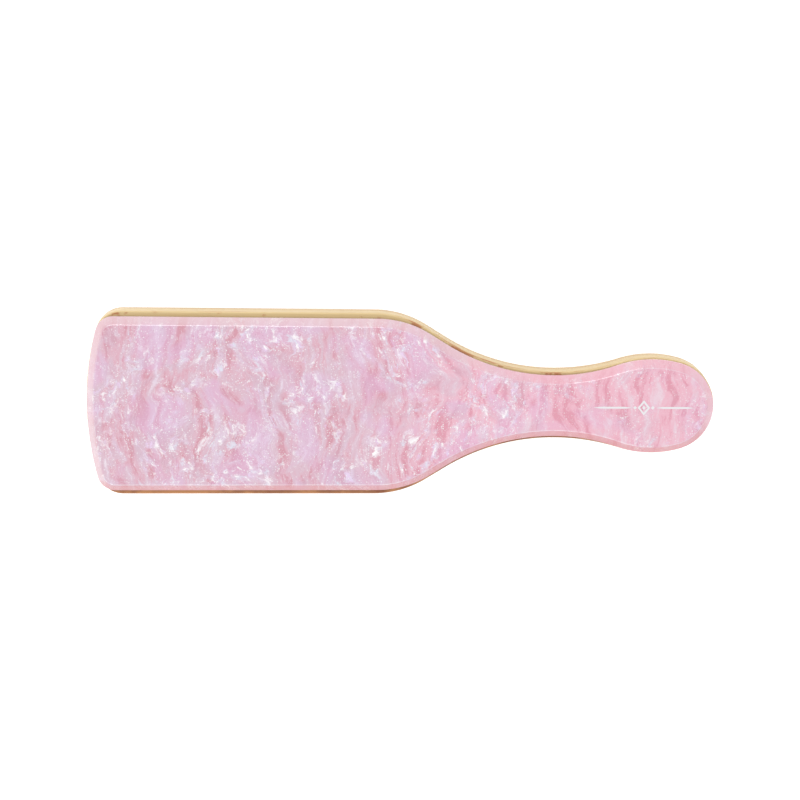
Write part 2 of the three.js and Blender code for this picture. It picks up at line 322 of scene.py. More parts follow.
def round_corners(points, radii, steps=5):
    """A polyline with its inner corners replaced by arcs."""
    out = [Vector(points[0])]
    for i in range(1, len(points) - 1):
        here = Vector(points[i])
        back = (Vector(points[i - 1]) - here).normalized()
        on = (Vector(points[i + 1]) - here).normalized()
        radius = radii[i - 1]
        if radius == 0:
            out.append(here)
            continue
        angle = back.angle(on)
        cut = radius / math.tan(angle / 2)
        centre = here + (back + on).normalized() * (radius / math.sin(angle / 2))
        start = here + back * cut - centre
        stop = here + on * cut - centre
        turn = math.copysign(math.pi - angle, start.x * stop.y - start.y * stop.x)
        for k in range(steps + 1):
            t = turn * k / steps
            c, s = math.cos(t), math.sin(t)
            out.append(centre + Vector((start.x * c - start.y * s, start.x * s + start.y * c)))
    out.append(Vector(points[-1]))
    return out


def finish_mesh(bm, name, mat, sharp=40):
    """An object from bm, with outward faces, smooth shading and edges past the sharp angle kept."""
    bmesh.ops.remove_doubles(bm, verts=bm.verts, dist=0.002 * MM)
    bmesh.ops.recalc_face_normals(bm, faces=bm.faces)
    for face in bm.faces:
        face.smooth = True
    for edge in bm.edges:
        if len(edge.link_faces) == 2 and edge.calc_face_angle(0) > math.radians(sharp):
            edge.smooth = False
    mesh = bpy.data.meshes.new(name)
    bm.to_mesh(mesh)
    bm.free()
    piece = bpy.data.objects.new(name, mesh)
    bpy.context.scene.collection.objects.link(piece)
    mesh.materials.append(mat)
    return piece


# ---------------------------------------------------------------- shader helpers


class Shader:
    """A Principled material and short ways to add the nodes that feed it."""

    def __init__(self, name, **sockets):
        self.material = bpy.data.materials.new(name)
        self.material.use_nodes = True
        self.tree = self.material.node_tree
        self.bsdf = self.tree.nodes["Principled BSDF"]
        for key, value in sockets.items():
            self.bsdf.inputs[key.replace("_", " ")].default_value = value
        coordinates = self.tree.nodes.new("ShaderNodeTexCoord")
        self.mm = self.vector("SCALE", coordinates.outputs["Object"], scale=1 / MM)

    def set(self, node, socket, value):
        target = node.inputs[socket]
        if isinstance(value, bpy.types.NodeSocket):
            self.tree.links.new(value, target)
        else:
            target.default_value = value

    def to(self, socket, value):
        self.set(self.bsdf, socket, value)

    def vector(self, operation, a, b=None, scale=None):
        node = self.tree.nodes.new("ShaderNodeVectorMath")
        node.operation = operation
        self.set(node, 0, a)
        if b is not None:
            self.set(node, 1, b)
        if scale is not None:
            self.set(node, "Scale", scale)
        return node.outputs["Vector"]

    def math(self, operation, a, b=0.0):
        node = self.tree.nodes.new("ShaderNodeMath")
        node.operation = operation
        self.set(node, 0, a)
        self.set(node, 1, b)
        return node.outputs[0]

    def axes(self, vector):
        node = self.tree.nodes.new("ShaderNodeSeparateXYZ")
        self.set(node, 0, vector)
        return node.outputs

    def join(self, x, y, z):
        node = self.tree.nodes.new("ShaderNodeCombineXYZ")
        for i, value in enumerate((x, y, z)):
            self.set(node, i, value)
        return node.outputs[0]

    def times(self, *values):
        """All the values multiplied together."""
        product = values[0]
        for value in values[1:]:
            product = self.math("MULTIPLY", product, value)
        return product

    def noise(self, vector, scale=1.0, detail=3.0, roughness=0.5, colour=False):
        node = self.tree.nodes.new("ShaderNodeTexNoise")
        self.set(node, "Vector", vector)
        self.set(node, "Scale", scale)
        self.set(node, "Detail", detail)
        self.set(node, "Roughness", roughness)
        return node.outputs["Color" if colour else "Fac"]

    def cells(self, vector, scale=1.0):
        node = self.tree.nodes.new("ShaderNodeTexVoronoi")
        self.set(node, "Vector", vector)
        self.set(node, "Scale", scale)
        return node.outputs

    def ramp(self, value, low, high, start=0.0, stop=1.0):
        """value from low to high, mapped smoothly to start to stop."""
        node = self.tree.nodes.new("ShaderNodeMapRange")
        node.interpolation_type = "SMOOTHSTEP"
        self.set(node, "Value", value)
        for socket, number in (
            ("From Min", low),
            ("From Max", high),
            ("To Min", start),
            ("To Max", stop),
        ):
            self.set(node, socket, number)
        return node.outputs["Result"]

    def mix(self, share, a, b):
        node = self.tree.nodes.new("ShaderNodeMix")
        node.data_type = "RGBA"
        self.set(node, 0, share)
        self.set(node, 6, a)
        self.set(node, 7, b)
        return node.outputs[2]

    def warp(self, vector, scale, amount, detail=2.0):
        """vector pushed about by a noise, by up to half of amount each way."""
        push = self.noise(vector, scale, detail, colour=True)
        centred = self.vector("SUBTRACT", push, (0.5, 0.5, 0.5))
        return self.vector("ADD", vector, self.vector("SCALE", centred, scale=amount))

    def bump(self, height, distance, strength):
        node = self.tree.nodes.new("ShaderNodeBump")
        self.set(node, "Height", height)
        self.set(node, "Distance", distance)
        self.set(node, "Strength", strength)
        return node.outputs[0]

    def normal(self):
        """The surface's direction, as its three axes."""
        return self.axes(self.tree.nodes.new("ShaderNodeNewGeometry").outputs["Normal"])

    def attribute(self, name):
        node = self.tree.nodes.new("ShaderNodeAttribute")
        node.attribute_name = name
        return node.outputs["Fac"]


def srgb(r, g, b, light=1.0):
    """A colour given as 0 to 255 sRGB, as the linear colour that shows it under that much light."""

    def linear(v):
        v /= 255
        return v / 12.92 if v <= 0.04045 else ((v + 0.055) / 1.055) ** 2.4

    return (linear(r) / light, linear(g) / light, linear(b) / light, 1.0)


STUDIO = 1.8  # light that falls on an upward face, where 1 shows a white one as full white
BLUISH_PEARL = srgb(236, 240, 255, STUDIO)
LILAC_PEARL = srgb(248, 220, 255, STUDIO)
WHITE_PEARL = srgb(255, 255, 255, 0.85 * STUDIO)


# ---------------------------------------------------------------- materials


def pearl_acetate():
    s = Shader("pearl_acetate", Roughness=0.34, Coat_Weight=1.0, Coat_Roughness=0.05)
    s.bsdf.inputs["IOR"].default_value = 1.48
    x, y, z = s.axes(s.mm)
    flat = s.join(x, y, s.math("MULTIPLY", z, 0.35))
    broad = s.warp(flat, 0.028, 24)
    swirled = s.warp(s.warp(broad, 0.12, 5.5), 0.45, 1.2)

    # Milky pink with deeper streaks across the width, each streak painted with a lit side and a shaded
    # side as painted relief shading
    streak_place = s.vector("MULTIPLY", swirled, (0.27, 0.042, 0.2))
    streaks = s.noise(streak_place, 1.0, 4, 0.55)
    beside = s.noise(s.vector("ADD", streak_place, (0.16, 0.012, 0)), 1.0, 4, 0.55)
    # Painted relief shading: the difference of two offset noises lights one side of each streak and
    # shades the other
    painted_relief_shade = s.math("SUBTRACT", beside, streaks)
    thread_place = s.vector("MULTIPLY", swirled, (1.25, 0.14, 0.3))
    threads = s.noise(thread_place, 1.0, 3, 0.6)
    tone = s.math("ADD", streaks, s.math("MULTIPLY", painted_relief_shade, 0.9))
    tone = s.math("ADD", tone, s.math("MULTIPLY", s.math("SUBTRACT", threads, 0.5), 0.22))
    colour = s.mix(s.ramp(tone, 0.36, 0.47), srgb(222, 154, 172, STUDIO), srgb(233, 180, 198, STUDIO))
    colour = s.mix(s.ramp(tone, 0.45, 0.57), colour, srgb(230, 194, 211, STUDIO))
    colour = s.mix(s.ramp(tone, 0.58, 0.7), colour, srgb(241, 219, 236, STUDIO))

    # The handle is a stronger pink
    rosy = s.mix(s.ramp(tone, 0.38, 0.5), srgb(240, 158, 180, STUDIO), srgb(254, 190, 209, STUDIO))
    rosy = s.mix(s.ramp(tone, 0.52, 0.7), rosy, srgb(250, 216, 230, STUDIO))
    colour = s.mix(s.ramp(x, -30, 35, 0, 0.9), colour, rosy)

    # Lilac and grey clouds
    fade = s.ramp(x, 20, 90, 1, 0.45)
    cloud_place = s.vector("MULTIPLY", broad, (0.05, 0.042, 0.05))
    lilac = s.noise(s.vector("ADD", cloud_place, (9.1, 3.7, 0)), 1.3, 2)
    lilac_mask = s.math("MULTIPLY", s.ramp(lilac, 0.46, 0.62), s.math("MULTIPLY", fade, 0.45))
    colour = s.mix(lilac_mask, colour, srgb(236, 192, 232, STUDIO))
    grey = s.noise(s.vector("ADD", cloud_place, (2.3, 8.9, 0)), 2.2, 3)
    grey_mask = s.math("MULTIPLY", s.ramp(grey, 0.5, 0.66), s.math("MULTIPLY", fade, 0.4))
    colour = s.mix(grey_mask, colour, srgb(219, 190, 210, STUDIO))

    # Drifts of pearl flakes: pale plumes with ragged bright flakes, drawn out across the width
    drifts = s.noise(s.vector("MULTIPLY", broad, (0.07, 0.05, 0.05)), 1.0, 3, 0.6)
    drift = s.ramp(drifts, 0.43, 0.58)
    flaky = s.warp(s.warp(swirled, 0.5, 2.6), 1.5, 1.0)
    plume_noise = s.noise(s.vector("MULTIPLY", flaky, (0.34, 0.2, 0.2)), 1.0, 3, 0.55)
    plume = s.math("MULTIPLY", s.ramp(plume_noise, 0.5, 0.6), drift)
    plume_mask = s.math("MULTIPLY", plume, s.math("MULTIPLY", fade, 0.5))
    colour = s.mix(plume_mask, colour, srgb(240, 220, 243, STUDIO))
    near_plume = s.math("MULTIPLY", drift, s.ramp(plume_noise, 0.44, 0.58))
    less_on_handle = s.ramp(x, 20, 90, 1, 0.7)
    flakes = plume
    for stretch, start, weight in (((0.3, 0.19, 0.5), 0.44, 0.9), ((0.75, 0.48, 0.5), 0.42, 0.95)):
        flake_place = s.vector("MULTIPLY", flaky, stretch)
        flake = s.cells(flake_place)
        chance = s.axes(flake["Color"])
        ragged = s.ramp(s.noise(flake_place, 2.6, 3, 0.65), 0.4, 0.54)
        inside = s.ramp(flake["Distance"], 0.75, 0.2)
        picked = s.times(s.ramp(chance[0], start, start + 0.12), inside, ragged, near_plume)
        pearl = s.mix(s.ramp(chance[1], 0.35, 0.6), BLUISH_PEARL, LILAC_PEARL)
        pearl = s.mix(s.ramp(chance[2], 0.45, 0.6), pearl, WHITE_PEARL)
        colour = s.mix(s.times(picked, weight, less_on_handle), colour, pearl)
        flakes = s.math("MAXIMUM", flakes, picked)

    # Thin bright crests
    crest_place = s.vector("MULTIPLY", swirled, (0.22, 0.05, 0.2))
    crest = s.math("ABSOLUTE", s.math("SUBTRACT", s.noise(crest_place, 1.0, 3, 0.5), 0.54))
    crests = s.math("MULTIPLY", s.ramp(crest, 0.01, 0.002), s.ramp(threads, 0.46, 0.6))
    colour = s.mix(s.math("MULTIPLY", crests, 0.55), colour, srgb(252, 238, 247, STUDIO))

    # Fine glitter, and the dark gaps between its grains
    dense = s.ramp(drifts, 0.34, 0.58, 0.3, 1)
    for size, rare, tint, strength in (
        (1.4, 0.78, srgb(255, 252, 255, STUDIO), 1.0),
        (2.5, 0.74, srgb(255, 248, 254, STUDIO), 0.9),
        (2.1, 0.82, srgb(188, 140, 162, STUDIO), 0.6),
    ):
        glitter = s.cells(s.vector("SCALE", s.vector("ADD", s.mm, (size, size, 0)), scale=size))
        lucky = s.ramp(s.axes(glitter["Color"])[0], rare, rare + 0.05)
        speck = s.ramp(glitter["Distance"], 0.42, 0.22)
        colour = s.mix(s.times(lucky, speck, dense, strength), colour, tint)

    # The bevel is clearer than the face and shows less of the pattern; where it faces the lower long
    # side it is painted a deep salmon shade, as painted shade, and paler elsewhere
    band = s.attribute("bevel_band")
    painted_lit_side = s.ramp(s.normal()[1], -0.6, -0.2)
    upper_edge = s.mix(s.ramp(x, 0, 60), srgb(242, 208, 213, STUDIO), srgb(250, 190, 204, STUDIO))
    bevel_lit_and_shaded = s.mix(painted_lit_side, srgb(212, 86, 88, STUDIO), upper_edge)
    colour = s.mix(s.math("MULTIPLY", band, 0.72), colour, bevel_lit_and_shaded)

    # A painted highlight: a thin pale line along the rounded edge between bevel and face, strongest
    # towards the lower long side
    painted_highlight = s.ramp(s.noise(s.mm, 0.22, 3), 0.36, 0.6, 0.35, 1)
    painted_highlight = s.math("MULTIPLY", painted_highlight, s.ramp(y, -6, 6, 0.95, 0.6))
    painted_highlight = s.math("MULTIPLY", painted_highlight, s.attribute("painted_highlight_edge"))
    colour = s.mix(painted_highlight, colour, srgb(255, 246, 252, STUDIO))
    s.to("Base Color", colour)

    relief = s.math("ADD", s.math("MULTIPLY", flakes, 0.5), s.math("MULTIPLY", tone, 0.5))
    s.to("Normal", s.bump(relief, 0.25 * MM, 0.5))
    s.to("Roughness", s.math("SUBTRACT", 0.42, s.math("MULTIPLY", flakes, 0.2)))
    polish = s.noise(s.mm, 0.12, 1)
    s.set(s.bsdf, "Coat Normal", s.bump(polish, 0.006 * MM, 0.2))
    return s.material


def bamboo(name, tone, grain_axis="X", strip_width=7.0):
    """Split bamboo: long fine fibres, strips of differing tone, and a dark line at each node."""
    s = Shader(name, Roughness=0.5, Coat_Weight=0.12, Coat_Roughness=0.25)
    x, y, z = s.axes(s.mm)
    along, across, up = (x, y, z) if grain_axis == "X" else (z, x, y)
    grain = s.join(along, across, up)
    fibres = s.noise(s.vector("MULTIPLY", grain, (0.03, 1.6, 1.6)), 1.0, 5, 0.65)
    vessels = s.noise(s.vector("MULTIPLY", grain, (0.12, 3.4, 3.4)), 1.0, 2, 0.5)
    strip = s.math("FLOOR", s.math("DIVIDE", s.math("ADD", across, 3.1), strip_width))
    dice = s.tree.nodes.new("ShaderNodeTexWhiteNoise")
    dice.noise_dimensions = "1D"
    s.set(dice, "W", s.math("ADD", strip, 17.3))
    roll = dice.outputs["Value"]
    colour = s.mix(s.ramp(fibres, 0.3, 0.7), tone["dark"], tone["light"])
    colour = s.mix(s.math("MULTIPLY", roll, 0.3), colour, tone["warm"])
    colour = s.mix(s.ramp(vessels, 0.62, 0.72, 0, 0.35), colour, tone["vessel"])
    if grain_axis == "X":
        spacing = s.math("DIVIDE", along, 96.0)
        node_at = s.math("FRACT", s.math("ADD", spacing, s.math("MULTIPLY", roll, 3.7)))
        from_node = s.math("ABSOLUTE", s.math("SUBTRACT", node_at, 0.5))
        colour = s.mix(s.ramp(from_node, 0.012, 0.004, 0, 0.2), colour, tone["vessel"])
    height = s.math("ADD", s.math("MULTIPLY", fibres, 0.7), s.math("MULTIPLY", vessels, 0.3))
    s.to("Normal", s.bump(height, 0.06 * MM, 0.6))
    s.to("Roughness", s.ramp(fibres, 0.3, 0.7, 0.56, 0.42))
    return s, colour


def body_bamboo():
    tone = {
        "light": srgb(229, 196, 140, STUDIO),
        "dark": srgb(213, 173, 115, STUDIO),
        "warm": srgb(221, 183, 127, STUDIO),
        "vessel": srgb(196, 144, 86, STUDIO),
    }
    s, colour = bamboo("bamboo", tone)
    x, y, z = s.axes(s.mm)
    foot, top = body_low.z / MM, body_high.z / MM
    # The upper long side is painted paler towards the joint, as painted light, and darker towards its
    # foot, as painted shade; the lower long side is painted a browner shade near the joint, as painted
    # shade
    waves = s.noise(s.vector("MULTIPLY", s.mm, (0.05, 0.3, 0.3)), 1.0, 2)
    wavy = s.math("ADD", z, s.math("MULTIPLY", waves, 1.2))
    # Painted light on the upper long side near the joint
    pale = s.math("MULTIPLY", s.ramp(wavy, foot + 5.5, foot + 8.5), s.ramp(y, -4, 4))
    colour = s.mix(s.math("MULTIPLY", pale, 0.6), colour, srgb(244, 218, 158, STUDIO))
    # Painted shade towards the foot of the upper long side
    painted_foot_shade = s.math("MULTIPLY", s.ramp(z, foot + 6, foot + 2), s.ramp(y, -4, 4))
    colour = s.mix(s.math("MULTIPLY", painted_foot_shade, 0.6), colour, srgb(216, 176, 116, STUDIO))
    # Painted shade on the lower long side near the joint, away from the ends
    sideways = s.ramp(s.math("ABSOLUTE", s.normal()[0]), 0.85, 0.5)
    lower = s.times(s.ramp(y, -2, -12), sideways, s.ramp(wavy, top - 1.8, top - 0.4))
    colour = s.mix(s.math("MULTIPLY", lower, 0.8), colour, srgb(226, 150, 88, STUDIO))
    # Scorched fibres along the glued joint, and on the lower long side a painted shadow of the plate
    # along it
    scorch = s.noise(s.vector("MULTIPLY", s.mm, (0.07, 0.12, 1.5)), 1.0, 4, 0.65)
    at_joint = s.ramp(z, top - 1.6, top - 0.7)
    worn = s.math("MULTIPLY", s.ramp(x, -14, 4), s.ramp(x, 74, 54))
    scorch = s.math("ADD", scorch, s.math("MULTIPLY", worn, 0.06))
    marks = s.math("MULTIPLY", s.ramp(scorch, 0.57, 0.63), at_joint)
    colour = s.mix(s.math("MULTIPLY", marks, 0.75), colour, srgb(190, 100, 40, STUDIO))
    # Painted shadow of the plate: a dark line along the joint on the lower long side, broken up by the
    # scorch noise
    painted_plate_shadow = s.times(lower, at_joint, s.ramp(scorch, 0.42, 0.56, 0.05, 0.6))
    colour = s.mix(painted_plate_shadow, colour, srgb(138, 76, 38, STUDIO))
    s.to("Base Color", colour)
    return s.material


def pin_bamboo():
    tone = {
        "light": srgb(233, 203, 152, STUDIO),
        "dark": srgb(208, 168, 112, STUDIO),
        "warm": srgb(222, 184, 128, STUDIO),
        "vessel": srgb(160, 112, 64, STUDIO),
    }
    s, colour = bamboo("pin_bamboo", tone, grain_axis="Z", strip_width=4.3)
    tip = s.ramp(s.axes(s.mm)[2], 1.6, 0.2, 0, 0.25)
    s.to("Base Color", s.mix(tip, colour, srgb(188, 142, 90, STUDIO)))
    return s.material


def cushion_rubber():
    s = Shader("cushion_rubber", Roughness=0.58, Subsurface_Weight=0.06)
    s.bsdf.inputs["Subsurface Radius"].default_value = (1.0, 0.5, 0.4)
    s.bsdf.inputs["Subsurface Scale"].default_value = 0.8 * MM
    s.bsdf.inputs["Sheen Weight"].default_value = 0.15
    cloudy = s.noise(s.mm, 0.08, 4, 0.6)
    colour = s.mix(s.ramp(cloudy, 0.35, 0.65), srgb(242, 222, 218, STUDIO), srgb(248, 232, 226, STUDIO))
    dust = s.cells(s.mm, 2.4)
    dusty = s.ramp(s.axes(dust["Color"])[0], 0.9, 0.97, 0, 0.18)
    colour = s.mix(dusty, colour, srgb(222, 196, 190, STUDIO))
    s.to("Base Color", colour)
    grain = s.noise(s.mm, 3.2, 4, 0.65)
    s.to("Normal", s.bump(grain, 0.03 * MM, 0.5))
    s.to("Roughness", s.ramp(grain, 0.35, 0.65, 0.52, 0.66))
    return s.material


def backing_cloth():
    s = Shader("backing_cloth", Roughness=0.92)
    s.bsdf.inputs["Sheen Weight"].default_value = 0.3
    x, y, _ = s.axes(s.mm)
    turn = 2 * math.pi / CLOTH_THREAD_PITCH
    warp_threads = s.math("SINE", s.math("MULTIPLY", x, turn))
    weft_threads = s.math("SINE", s.math("MULTIPLY", y, turn))
    weave = s.math("MULTIPLY", warp_threads, weft_threads)
    fuzz = s.noise(s.mm, 2.0, 3)
    colour = s.mix(s.ramp(weave, -0.6, 0.6), srgb(222, 214, 200, STUDIO), srgb(238, 232, 220, STUDIO))
    colour = s.mix(s.ramp(fuzz, 0.5, 0.8, 0, 0.3), colour, srgb(210, 200, 184, STUDIO))
    s.to("Base Color", colour)
    s.to("Normal", s.bump(s.math("ADD", weave, fuzz), 0.08 * MM, 0.8))
    return s.material


def white_print():
    s = Shader("white_print", Roughness=0.35)
    wear = s.noise(s.mm, 3.0, 3, 0.6)
    worn = s.ramp(wear, 0.6, 0.75, 0, 0.35)
    s.to("Base Color", s.mix(worn, srgb(250, 249, 252, STUDIO), srgb(244, 226, 234, STUDIO)))
    s.to("Roughness", s.ramp(wear, 0.4, 0.7, 0.3, 0.45))
    s.to("Normal", s.bump(wear, 0.01 * MM, 0.4))
    return s.material


# ---------------------------------------------------------------- bamboo body

pocket_left = body_low.x + WOOD_BORDER
pocket_right = pad_high.x - (GROOVE_REACH - PAD_GAP)
pocket_half = HEAD_HALF - WOOD_BORDER


class RoundedBox:
    """A rectangle with round corners, made by pushing points out from the box of corner centres."""

    def __init__(self, left, right, half, radius):
        self.low = Vector((left + radius, -half + radius))
        self.high = Vector((right - radius, half - radius))
        self.radius = radius

    def foot(self, point):
        return Vector(
            (
                min(max(point.x, self.low.x), self.high.x),
                min(max(point.y, self.low.y), self.high.y),
            )
        )

    def depth(self, point):
        """How far a point is inside the outline."""
        return self.radius - (Vector(point) - self.foot(point)).length

    def push(self, point, depth):
        """The point on the same ray as this one that is this far inside the outline."""
        foot = self.foot(point)
        return foot + (Vector(point) - foot).normalized() * (self.radius - depth)

    def ring(self, grow, z, corner_steps=14, side_step=4 * MM):
        points = []
        corners = [
            (self.high.x, self.high.y, 0),
            (self.low.x, self.high.y, 1),
            (self.low.x, self.low.y, 2),
            (self.high.x, self.low.y, 3),
        ]
        for index, (cx, cy, quarters) in enumerate(corners):
            for i in range(corner_steps + 1):
                angle = QUARTER * (quarters + i / corner_steps)
                points.append(
                    Vector((math.cos(angle), math.sin(angle))) * (self.radius + grow)
                    + Vector((cx, cy))
                )
            following = corners[(index + 1) % 4]
            angle = QUARTER * (quarters + 1)
            start = points[-1]
            stop = Vector((math.cos(angle), math.sin(angle))) * (self.radius + grow)
            stop += Vector(following[:2])
            steps = max(2, round((Vector(following[:2]) - Vector((cx, cy))).length / side_step))
            points.extend(start.lerp(stop, i / steps) for i in range(1, steps))
        return [Vector((p.x, p.y, z)) for p in points]


pocket = RoundedBox(pocket_left, pocket_right, pocket_half, POCKET_CORNER_RADIUS)


def quarter_round(size, level, up, steps=9):
    """A rounded edge's insets and heights, from the flat face at level outwards to the side."""
    reach, depth = size
    turns = [QUARTER * i / steps for i in range(steps + 1)]
    return [(reach * (1 - math.sin(t)), level + up * depth * (1 - math.cos(t))) for t in turns]


def build_body(mat):
    bm = bmesh.new()
    face, back = body_low.z, body_high.z
    pin_side = quarter_round(PIN_SIDE_ROUND, face, 1)
    profile = [(PIN_SIDE_ROUND[0] + SUPPORT, face), *pin_side]
    profile += [*reversed(quarter_round(BACK_ROUND, back, -1)), (BACK_ROUND[0] + SUPPORT, back)]
    outer = loft(bm, [paddle_ring(body_arcs, inset, z) for inset, z in profile])
    groove_low = face + GROOVE_DEPTH_BELOW_FACE
    groove_high = groove_low + GROOVE_HEIGHT
    roof = face + POCKET_DEPTH
    wall = round_corners(
        [
            (POCKET_RIM_ROUND + SUPPORT, face),
            (0, face),
            (0, groove_low),
            (GROOVE_REACH, groove_low),
            (GROOVE_REACH, groove_high),
            (0, groove_high),
            (0, roof),
            (-SUPPORT, roof),
        ],
        [POCKET_RIM_ROUND, 0, 0, 0, 0, 0],
    )
    inner = loft(bm, [pocket.ring(grow, z) for grow, z in wall])
    fill(bm, outer[0], inner[0])
    fill(bm, outer[-1])
    fill(bm, inner[-1])
    return finish_mesh(bm, "bamboo_paddle", mat)


# ---------------------------------------------------------------- acetate plate


def build_plate(mat):
    bm = bmesh.new()
    foot, top = plate_low.z, plate_high.z
    profile = round_corners(
        [
            (SUPPORT, foot),
            (0, foot),
            (0, foot + PLATE_EDGE_HEIGHT),
            (PLATE_BEVEL_WIDTH, top),
            (PLATE_BEVEL_WIDTH + PLATE_FACE_RING, top),
        ],
        [PLATE_FOOT_ROUND, PLATE_EDGE_ROUND, PLATE_TOP_ROUND],
        steps=6,
    )
    rows = loft(bm, [paddle_ring(plate_arcs, inset, z) for inset, z in profile])
    fill(bm, rows[0])
    fill(bm, rows[-1])
    piece = finish_mesh(bm, "acetate_plate", mat)
    band = piece.data.attributes.new("bevel_band", "FLOAT", "POINT")
    painted_highlight = piece.data.attributes.new("painted_highlight_edge", "FLOAT", "POINT")
    depths = [top - v.co.z for v in piece.data.vertices]
    bands = [(depth - BEVEL_TINT_START) / BEVEL_TINT_FADE for depth in depths]
    band.data.foreach_set("value", [min(1, max(0, share)) for share in bands])
    # The painted highlight line peaks just below the face, on the rounded top edge
    lines = [1 - abs(depth - PAINTED_HIGHLIGHT_HALF) / PAINTED_HIGHLIGHT_HALF for depth in depths]
    painted_highlight.data.foreach_set("value", [max(0, share) for share in lines])
    return piece


# ---------------------------------------------------------------- cushion


def pin_centre(row, column):
    low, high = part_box(f"pin_row{row + 1}_{column + 1:02d}")
    return Vector(((low.x + high.x) / 2, (low.y + high.y) / 2))


def build_pad(mat):
    rim = RoundedBox(
        pocket_left + PAD_GAP,
        pocket_right - PAD_GAP,
        pocket_half - PAD_GAP,
        POCKET_CORNER_RADIUS - PAD_GAP,
    )
    crown = body_low.z - pad_low.z
    hole = PIN_ROOT_RADIUS + PIN_HOLE_GAP
    columns = [pin_centre(0, c).x for c in range(PIN_COLUMNS)]
    rows = [pin_centre(r, 0).y for r in range(PIN_ROWS)]

    def edges(places):
        inner = [(a + b) / 2 for a, b in zip(places, places[1:])]
        return [places[0] - OUTER_CELL, *inner, places[-1] + OUTER_CELL]

    xs, ys = edges(columns), edges(rows)

    def level(depth, low, rise, run):
        inside = min(max(depth / run, 0), 1)
        return low + rise * (1 - (1 - (1 - inside) ** PAD_CROWN_POWER) ** 0.5)

    def outside(point, collar=0.0):
        z = level(rim.depth(point), pad_low.z, crown, PAD_CROWN_RUN)
        return Vector((point.x, point.y, z - collar))

    def inside(point):
        z = level(
            rim.depth(point) - PAD_MEMBRANE,
            pad_low.z + PAD_MEMBRANE,
            crown - PAD_MEMBRANE,
            PAD_INNER_RUN,
        )
        return Vector((point.x, point.y, z))

    def boundary(x0, x1, y0, y1):
        n = CELL_STEPS
        out = [Vector((x0 + (x1 - x0) * i / n, y0)) for i in range(n)]
        out += [Vector((x1, y0 + (y1 - y0) * i / n)) for i in range(n)]
        out += [Vector((x1 - (x1 - x0) * i / n, y1)) for i in range(n)]
        out += [Vector((x0, y1 - (y1 - y0) * i / n)) for i in range(n)]
        return out

    circles = [hole + COLLAR_WIDTH * k for k in COLLAR_RINGS]
    bm = bmesh.new()
    for r, cy in enumerate(rows):
        for c, cx in enumerate(columns):
            centre = Vector((cx, cy))
            edge = boundary(xs[c], xs[c + 1], ys[r], ys[r + 1])
            rays = [(p - centre).normalized() for p in edge]
            rings = []
            for radius in circles:
                collar = COLLAR_HEIGHT * math.exp(-(((radius - COLLAR_RADIUS) / COLLAR_WIDTH) ** 2))
                rings.append([outside(centre + d * radius, collar) for d in rays])
            middle = [(centre + d * circles[-1]).lerp(p, 0.5) for d, p in zip(rays, edge)]
            rings += [[outside(p) for p in middle], [outside(p) for p in edge]]
            back = [[inside(centre + d * radius) for d in rays] for radius in (hole, circles[-1])]
            back += [[inside(p) for p in middle], [inside(p) for p in edge]]
            loft(bm, list(reversed(back)) + rings)

    # The band from the pinned field to the rim, the skirt with its bead, and back inside
    field = []
    n = CELL_STEPS
    for c in range(PIN_COLUMNS):
        field += [Vector((xs[c] + (xs[c + 1] - xs[c]) * i / n, ys[0])) for i in range(n)]
    for r in range(PIN_ROWS):
        field += [Vector((xs[-1], ys[r] + (ys[r + 1] - ys[r]) * i / n)) for i in range(n)]
    for c in reversed(range(PIN_COLUMNS)):
        field += [Vector((xs[c + 1] - (xs[c + 1] - xs[c]) * i / n, ys[-1])) for i in range(n)]
    for r in reversed(range(PIN_ROWS)):
        field += [Vector((xs[0], ys[r + 1] - (ys[r + 1] - ys[r]) * i / n)) for i in range(n)]
    rings = [[outside(p) for p in field]]
    for i in range(1, SHOULDER_STEPS + 1):
        share = 1 - math.sin(QUARTER * i / SHOULDER_STEPS)
        rings.append([outside(rim.push(p, rim.depth(p) * share)) for p in field])
    bead_low = body_low.z + GROOVE_DEPTH_BELOW_FACE + PAD_GAP
    bead_high = bead_low + GROOVE_HEIGHT - 2 * PAD_GAP
    skirt = round_corners(
        [
            (0, body_low.z),
            (0, bead_low),
            (-PAD_BEAD_REACH, bead_low),
            (-PAD_BEAD_REACH, bead_high),
            (0, bead_high),
            (0, pad_high.z),
            (PAD_MEMBRANE, pad_high.z),
            (PAD_MEMBRANE, body_low.z),
        ],
        [0, SKIRT_ROUND, SKIRT_ROUND, 0, SKIRT_ROUND, SKIRT_ROUND],
        steps=3,
    )
    for depth, z in skirt[1:]:
        rings.append([Vector((*rim.push(p, depth), z)) for p in field])
    for i in range(SHOULDER_STEPS - 1, -1, -1):
        share = 1 - math.sin(QUARTER * i / SHOULDER_STEPS)
        ring = []
        for p in field:
            reach = max(rim.depth(p) - PAD_MEMBRANE, 0)
            ring.append(inside(rim.push(p, PAD_MEMBRANE + reach * share)))
        rings.append(ring)
    rings[-1] = [inside(p) for p in field]
    loft(bm, rings)
    bmesh.ops.remove_doubles(bm, verts=bm.verts, dist=0.002 * MM)

